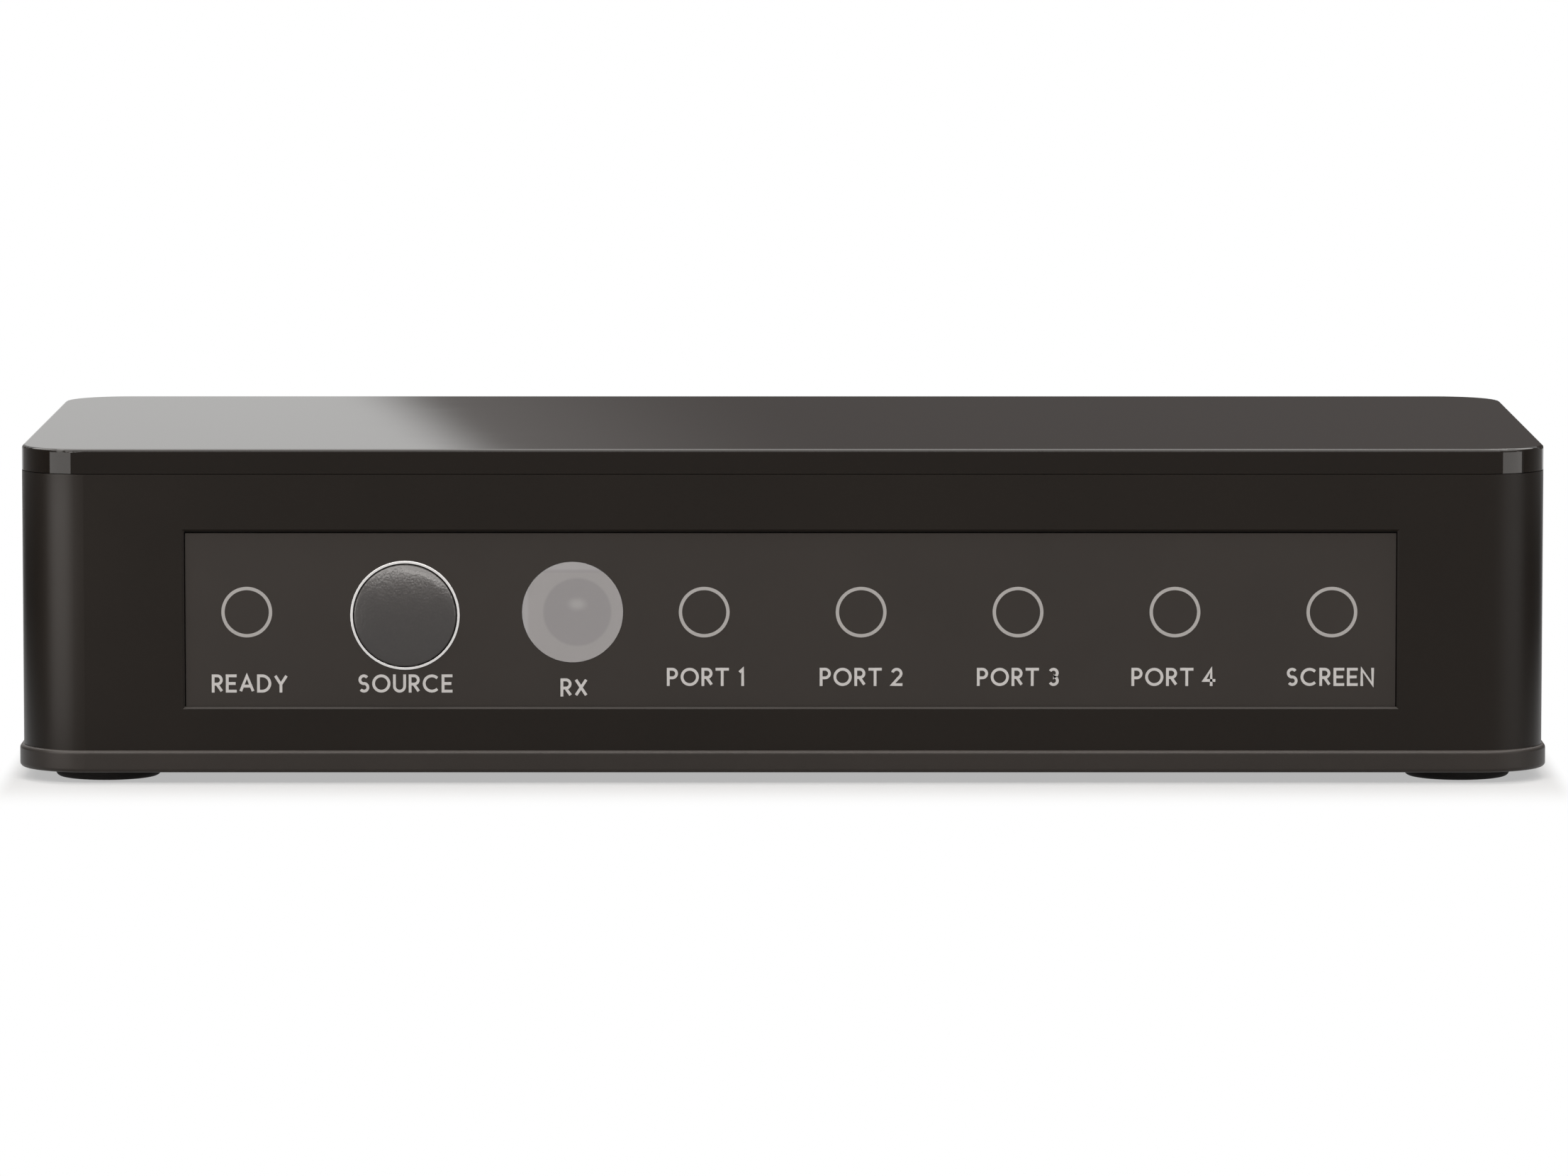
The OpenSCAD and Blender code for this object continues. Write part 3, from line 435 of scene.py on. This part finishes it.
finishes = {
    "gloss_cover": glossCover(),
    "matt_case": mattPlastic("matt_case", case),
    "matt_base": mattPlastic("matt_base", base),
    "panel_sheet": mattPlastic("panel_sheet", panel),
    "button_cap": grainedCap(),
    "satin_trim": metal("satin_trim", trim),
    "smoke_window": milkyWindow(),
    "foot_rubber": mattPlastic("foot_rubber", rubber),
    "board_green": maskedBoard(),
    "plated_steel": metal("plated_steel", plated),
    "black_insulator": mattPlastic("black_insulator", insulator),
    "gold_contact": metal("gold_contact", gold),
    "tinned_lead": metal("tinned_lead", tinned),
    "chip_black": mattPlastic("chip_black", chip),
    "receiver_dark": mattPlastic("receiver_dark", receiver),
    "lamp_clear": clearLamp(),
    "can_aluminium": metal("can_aluminium", can),
    "ceramic_tan": mattPlastic("ceramic_tan", ceramic),
}
for row in frame["record"]["subparts"]:
    slots = nodes[row["node"]].data.materials
    slots.clear()
    slots.append(finishes[row["material_slot"]])
print("finishes set:", len(finishes))


# Rounded rim of the trim ring, in millimetres and degrees
trimRim = {"width": 0.03, "segments": 4, "sharp": 40}


# a node's split corners are joined before its edges are worked on
def welded(name):
    nodes[name].modifiers.new("weld", "WELD").merge_threshold = tiny
    return nodes[name]


def roundTrim():
    bevel = welded("button_trim_ring").modifiers.new("rim", "BEVEL")
    bevel.width = trimRim["width"] * mm
    bevel.segments = trimRim["segments"]
    bevel.limit_method = "ANGLE"
    bevel.angle_limit = math.radians(trimRim["sharp"])
    bevel.harden_normals = True


# the dome's shading is worked out anew, because its pole has a stray slant
def smoothDome():
    welded("select_button").modifiers.new("smooth", "WEIGHTED_NORMAL").mode = "CORNER_ANGLE"


roundTrim()
smoothDome()
print("ring and dome smoothed")


def flattenDome():
    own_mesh(nodes["tact_snap_dome"])


flattenDome()


# Print on the front panel: lamp rings and plain words in a stroke alphabet
ink = {"rough": 0.55, "spread": 0.1, "specular": 0.3, "wear": 0.35, "shift": (0.94, 1.05), "lift": 0.02}
rings = {"color": (0.36, 0.342, 0.33), "outer": 3.82, "inner": 3.32, "steps": 96}
words = {
    "color": (0.52, 0.50, 0.488),
    "cap": 1.37,
    "stroke": 0.21,
    "space": 0.2,
    "gap": 0.3,
    "labels": (
        ("READY", -40.1, 7.6),
        ("SOURCE", -28.4, 7.6),
        ("RX", -15.7, 7.3),
        ("PORT 1", -5.8, 8.1),
        ("PORT 2", 5.9, 8.1),
        ("PORT 3", 17.7, 8.1),
        ("PORT 4", 29.4, 8.1),
        ("SCREEN", 41.2, 8.1),
    ),
}


def arc(x, y, radius, start, end, steps=18):
    turns = [math.radians(start + (end - start) * i / steps) for i in range(steps + 1)]
    return [(x + radius * math.cos(t), y + radius * math.sin(t)) for t in turns]


mitre = {"least": 0.3, "most": 2.2}  # how far a bend may stretch a stroke

# each letter is a list of strokes through a unit box, as wide as its last number
letters = {
    "A": ([[(0, 0), (0.4, 1), (0.8, 0)], [(0.15, 0.33), (0.65, 0.33)]], 0.8),
    "C": ([arc(0.5, 0.5, 0.5, 45, 315)], 0.87),
    "D": ([[(0, 0), (0, 1)], [(0, 1), *arc(0.24, 0.5, 0.5, 90, -90), (0, 0)]], 0.74),
    "E": ([[(0.52, 1), (0, 1), (0, 0), (0.52, 0)], [(0, 0.5), (0.45, 0.5)]], 0.52),
    "N": ([[(0, 0), (0, 1), (0.7, 0), (0.7, 1)]], 0.7),
    "O": ([arc(0.5, 0.5, 0.5, 0, 360, 40)], 1.0),
    "P": ([[(0, 0), (0, 1)], [(0, 1), *arc(0.26, 0.72, 0.28, 90, -90), (0, 0.44)]], 0.54),
    "R": (
        [[(0, 0), (0, 1)], [(0, 1), *arc(0.26, 0.73, 0.27, 90, -90), (0, 0.46)], [(0.24, 0.46), (0.56, 0)]],
        0.56,
    ),
    "S": ([arc(0.28, 0.745, 0.255, 35, 262) + arc(0.29, 0.25, 0.25, 82, -145)], 0.56),
    "T": ([[(0, 1), (0.68, 1)], [(0.34, 1), (0.34, 0)]], 0.68),
    "U": ([[(0, 1), *arc(0.33, 0.33, 0.33, 180, 360), (0.66, 1)]], 0.66),
    "X": ([[(0, 0), (0.66, 1)], [(0, 1), (0.66, 0)]], 0.66),
    "Y": ([[(0, 1), (0.36, 0.44), (0.72, 1)], [(0.36, 0.44), (0.36, 0)]], 0.72),
    "1": ([[(0, 0.8), (0.2, 1), (0.2, 0)]], 0.22),
    "2": ([[*arc(0.28, 0.72, 0.28, 165, -35), (0, 0), (0.56, 0)]], 0.56),
    "3": ([arc(0.25, 0.755, 0.245, 150, -90) + arc(0.25, 0.255, 0.255, 90, -150)], 0.51),
    "4": ([[(0.46, 0), (0.46, 1), (0, 0.27), (0.64, 0.27)]], 0.64),
}


# upright and level ends reach half a stroke further, so that corners are full
def squareEnds(points, half):
    points = [Vector(p) for p in points]
    for end, inner in ((0, 1), (-1, -2)):
        way = (points[end] - points[inner]).normalized()
        if min(abs(way.x), abs(way.y)) < tiny:
            points[end] = points[end] + way * half
    return points


# a stroke's two edges, mitred at its bends
def strokeEdges(points, half):
    closed = math.dist(points[0], points[-1]) < tiny
    if not closed:
        points = squareEnds(points, half)
    count = len(points)
    left, right = [], []
    for i, point in enumerate(points):
        before = points[i - 1] if i else (points[-2] if closed else None)
        after = points[i + 1] if i < count - 1 else (points[1] if closed else None)
        ways = []
        for start, end in ((before, point), (point, after)):
            if start is not None and end is not None:
                ways.append((Vector(end) - Vector(start)).normalized())
        along = sum(ways, Vector((0, 0))).normalized()
        side = Vector((-along.y, along.x))
        lean = side.dot(Vector((-ways[0].y, ways[0].x)))
        stretch = min(1.0 / max(lean, mitre["least"]), mitre["most"])
        left.append(Vector(point) + side * half * stretch)
        right.append(Vector(point) - side * half * stretch)
    return left, right


# thin raised band between two edges, standing on the panel's face
def addBand(form, left, right, face, lift):
    rows = []
    for a, b in zip(left, right):
        corners = [(a, face - lift), (b, face - lift), (b, face), (a, face)]
        rows.append([form.verts.new((p.x * mm, y * mm, p.y * mm)) for p, y in corners])
    for first, second in zip(rows, rows[1:]):
        for i in range(4):
            form.faces.new((first[i], first[(i + 1) % 4], second[(i + 1) % 4], second[i]))
    if (left[0] - left[-1]).length > tiny:
        form.faces.new(rows[0][::-1])
        form.faces.new(rows[-1])


def addWord(layers, text, x, z, face):
    cap, stroke = words["cap"], words["stroke"]
    tall = cap - stroke
    wide = [letters[c][1] * tall + stroke if c != " " else words["gap"] for c in text]
    left = x - (sum(wide) + words["space"] * (len(text) - 1)) / 2
    for c, width in zip(text, wide):
        for i, points in enumerate(letters[c][0] if c != " " else []):
            origin = Vector((left + stroke / 2, z - tall / 2))
            edges = strokeEdges([origin + Vector(p) * tall for p in points], stroke / 2)
            addBand(layers[i], *edges, face, ink["lift"])
        left += width + words["space"]


# one mesh of the layers' strokes, united where they cross
def joined(name, layers):
    made = [bpy.data.objects.new(name, meshFrom(name, form)) for form in layers]
    for layer in made:
        scene.collection.objects.link(layer)
    for layer in made[1:]:
        union = made[0].modifiers.new("union", "BOOLEAN")
        union.operation = "UNION"
        union.solver = "EXACT"
        union.object = layer
    graph = bpy.context.evaluated_depsgraph_get()
    mesh = bpy.data.meshes.new_from_object(made[0].evaluated_get(graph))
    mesh.name = name
    for layer in made:
        bpy.data.objects.remove(layer)
    return mesh


def panelInk(name, shade):
    f = newFinish(name)
    point = f.place()
    wear = f.noise(point, ink["wear"], detail=3.0, rough=0.6)
    color = f.blend(wear, *shades(shade, ink["shift"]))
    rough = ink["rough"] + ink["spread"] * wear
    return f.done(f.shade({"Base Color": color, "Roughness": rough, "Specular IOR Level": ink["specular"]}))


def printPanel():
    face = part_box("front_panel")[0].y / mm
    most = max(len(strokes) for strokes, width in letters.values())
    layers = [bmesh.new() for i in range(most)]
    for text, x, z in words["labels"]:
        addWord(layers, text, x, z, face)
    newPiece("panel_words", joined("panel_words", layers), panelInk("word_ink", words["color"]))
    form = bmesh.new()
    for name in ("power", "input_1", "input_2", "input_3", "input_4", "output"):
        low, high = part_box("lamp_" + name)
        middle = (low + high) / 2 / mm
        turns = [2 * math.pi * i / rings["steps"] for i in range(rings["steps"] + 1)]
        spokes = [Vector((math.cos(t), math.sin(t))) for t in turns]
        centre = Vector((middle.x, middle.z))
        inner = [centre + spoke * rings["inner"] / 2 for spoke in spokes]
        outer = [centre + spoke * rings["outer"] / 2 for spoke in spokes]
        addBand(form, inner, outer, face, ink["lift"])
    bmesh.ops.remove_doubles(form, verts=form.verts, dist=1e-8)
    newPiece("lamp_rings", meshFrom("lamp_rings", form), panelInk("ring_ink", rings["color"]))


printPanel()
print("panel printed")


# Studio: pale floor, soft boxes and dark flags beside the box, and cards behind, above and in front of it
# contact is the share of painted glow kept on the floor at the box's edge and under it
floor = {"color": (0.86, 0.86, 0.855), "reach": 8.0, "contact": 0.45, "far": 0.014, "sideways": 8.0}
worldLight = {"fill": 0.2, "white": 1.0}
white = (1.0, 1.0, 1.0, 1.0)
warm = (1.0, 0.975, 0.95, 1.0)
seenBy = ("Is Camera Ray", "Is Glossy Ray", "Is Transmission Ray")  # rays that see a white background
corner = {"x": 0.0525, "y": -0.021}
flag = {"to": 90, "back": 0.06, "far": 0.05, "high": 0.06, "glow": (0.06, 0.5)}
walls = {  # bearings in degrees, lengths in metres
    "soft_box_left": {"side": -1, "from": 24, "to": 60.5, "far": 0.03, "high": 0.025, "glow": (5.2, 7.5)},
    "soft_box_right": {"side": 1, "from": 41, "to": 79, "far": 0.22, "high": 0.022, "glow": (7.0, 7.0)},
    "flag_left": {"side": -1, "from": 64, **flag},
    "flag_right": {"side": 1, "from": 80, **flag},
}
wallSteps = 12
wallFoot = 0.0005
glowTurn = (0.012, 0.018)  # heights between which a wall turns from its lower glow to its upper one
topCard = {"x": 0.45, "y": (-0.25, 0.3), "z": 0.3, "glow": 7.5}
lampAim = (0.0, 0.0, 0.012)
lamps = {
    "front_lamp": {"at": (-0.02, -0.483, 0.37), "size": (0.85, 0.1), "watts": 2.55},
    "high_lamp": {"at": (0.0, 0.05, 0.6), "size": (0.6, 0.4), "watts": 1.8},
}
frontCard = {"at": (-0.02, -0.483, 0.37), "size": (0.95, 0.12), "glow": 13.5}  # stands for the front lamp
mirrorCard = {
    "y": 0.5,
    "half": 0.9,
    "high": 0.2,
    "bright": (0.745, 0.74, 0.73),
    "dusk": (0.200, 0.188, 0.182),
    "dark": (0.12, 0.11, 0.106),
    "edge": (-0.0474, 0.065),
    "lean": 1.3,
    "soft": 0.007,
    "tail": 0.05,
}


def backgroundRays(f):
    total = f.node("ShaderNodeLightPath", output=seenBy[0])
    for kind in seenBy[1:]:
        total = total.most(f.node("ShaderNodeLightPath", output=kind))
    return total


def floorFinish():
    f = newFinish("floor")
    x, y, z = f.axes(f.node("ShaderNodeTexCoord", output="Object"))
    high = cadBox[1]
    outX = (abs(x) - high.x).most(0.0) * floor["sideways"]
    outY = (abs(y) - high.y).most(0.0)
    away = (outX * outX + outY * outY) ** 0.5
    # away from the box the floor glows white; near it the glow falls to the contact share, so the box's real
    # shadow shows, lifted under the base by this painted light
    share = away.ease(0.0, floor["far"], floor["contact"], 1.0) * backgroundRays(f)
    paper = f.node("ShaderNodeBsdfDiffuse", None, {"Color": (*floor["color"], 1.0)})
    return f.done(f.node("ShaderNodeMixShader", None, {0: share, 1: paper, 2: f.glow(white, 1.0)}))


# a band between two lines of points, seen only in reflections
def stageBand(name, first, second, finish):
    form = bmesh.new()
    feet = [form.verts.new(point) for point in first]
    tops = [form.verts.new(point) for point in second]
    for i in range(len(first) - 1):
        form.faces.new((feet[i], feet[i + 1], tops[i + 1], tops[i]))
    mesh = meshFrom(name, form)
    mesh.materials.append(finish)
    made = bpy.data.objects.new(name, mesh)
    made.visible_camera = False
    made.visible_shadow = False
    made.visible_diffuse = False
    scene.collection.objects.link(made)


def stageWall(name, line, high, finish):
    stageBand(name, [(x, y, wallFoot) for x, y in line], [(x, y, high) for x, y in line], finish)


def hangTopCard():
    f = newFinish("top_card")
    f.done(f.glow(warm, topCard["glow"]))
    near, far = [[(x, y, topCard["z"]) for x in (-topCard["x"], topCard["x"])] for y in topCard["y"]]
    stageBand("top_card", near, far, f.owner)


def hangFrontCard():
    f = newFinish("front_card")
    f.done(f.glow(warm, frontCard["glow"]))
    x, y, z = frontCard["at"]
    wide, tall = frontCard["size"]
    low, high = [[(x + side * wide / 2, y, z + up * tall / 2) for side in (-1, 1)] for up in (-1, 1)]
    stageBand("front_card", low, high, f.owner)


# curved wall round a front corner of the box, between two bearings, which may run on towards the back
def cornerWall(name, look):
    f = newFinish(name)
    z = f.axes(f.node("ShaderNodeTexCoord", output="Object"))[2]
    color = f.blend(z.ease(*glowTurn), *shades(warm[:3], look["glow"]))
    f.done(f.glow(color, 1.0))
    line = []
    for i in range(wallSteps + 1):
        turn = math.radians(look["from"] + (look["to"] - look["from"]) * i / wallSteps)
        side = look["side"] * (corner["x"] + math.sin(turn) * look["far"])
        line.append((side, corner["y"] - math.cos(turn) * look["far"]))
    if "back" in look:
        line.append((line[-1][0], look["back"]))
    stageWall(name, line, look["high"], f.owner)


def mirrorFinish():
    f = newFinish("mirror_card")
    x, y, z = f.axes(f.node("ShaderNodeTexCoord", output="Object"))
    edgeX, edgeZ = mirrorCard["edge"]
    along = (x - edgeX) - mirrorCard["lean"] * (z - edgeZ)
    soft, tail = mirrorCard["soft"], mirrorCard["tail"]
    dusk = f.blend(along.ease(0.0, tail), mirrorCard["dusk"], mirrorCard["dark"])
    color = f.blend(along.ease(-soft, soft), mirrorCard["bright"], dusk)
    return f.done(f.glow(color, 1.0))


def hangLamp(name, look):
    data = bpy.data.lights.new(name, "AREA")
    data.shape = "RECTANGLE"
    data.size, data.size_y = look["size"]
    data.energy = look["watts"]
    data.color = warm[:3]
    made = bpy.data.objects.new(name, data)
    made.location = look["at"]
    made.rotation_euler = facing(look["at"], lampAim)
    made.visible_glossy = False
    scene.collection.objects.link(made)


def lightStudio():
    reach = floor["reach"]
    form = bmesh.new()
    corners = ((-reach, -reach), (reach, -reach), (reach, reach), (-reach, reach))
    form.faces.new([form.verts.new((x, y, 0.0)) for x, y in corners])
    mesh = meshFrom("floor", form)
    mesh.materials.append(floorFinish())
    ground = bpy.data.objects.new("floor", mesh)
    scene.collection.objects.link(ground)
    for name, look in walls.items():
        cornerWall(name, look)
    line = [(-mirrorCard["half"], mirrorCard["y"]), (mirrorCard["half"], mirrorCard["y"])]
    stageWall("mirror_card", line, mirrorCard["high"], mirrorFinish())
    hangTopCard()
    hangFrontCard()
    for name, look in lamps.items():
        hangLamp(name, look)
    world = bpy.data.worlds.new("studio")
    scene.world = world
    f = Finish(world)
    level = worldLight["fill"] + (worldLight["white"] - worldLight["fill"]) * backgroundRays(f)
    light = f.node("ShaderNodeBackground", None, {"Color": white, "Strength": level})
    f.done(light, "ShaderNodeOutputWorld")
    scene.view_settings.view_transform = "Standard"


lightStudio()
print("studio lit")
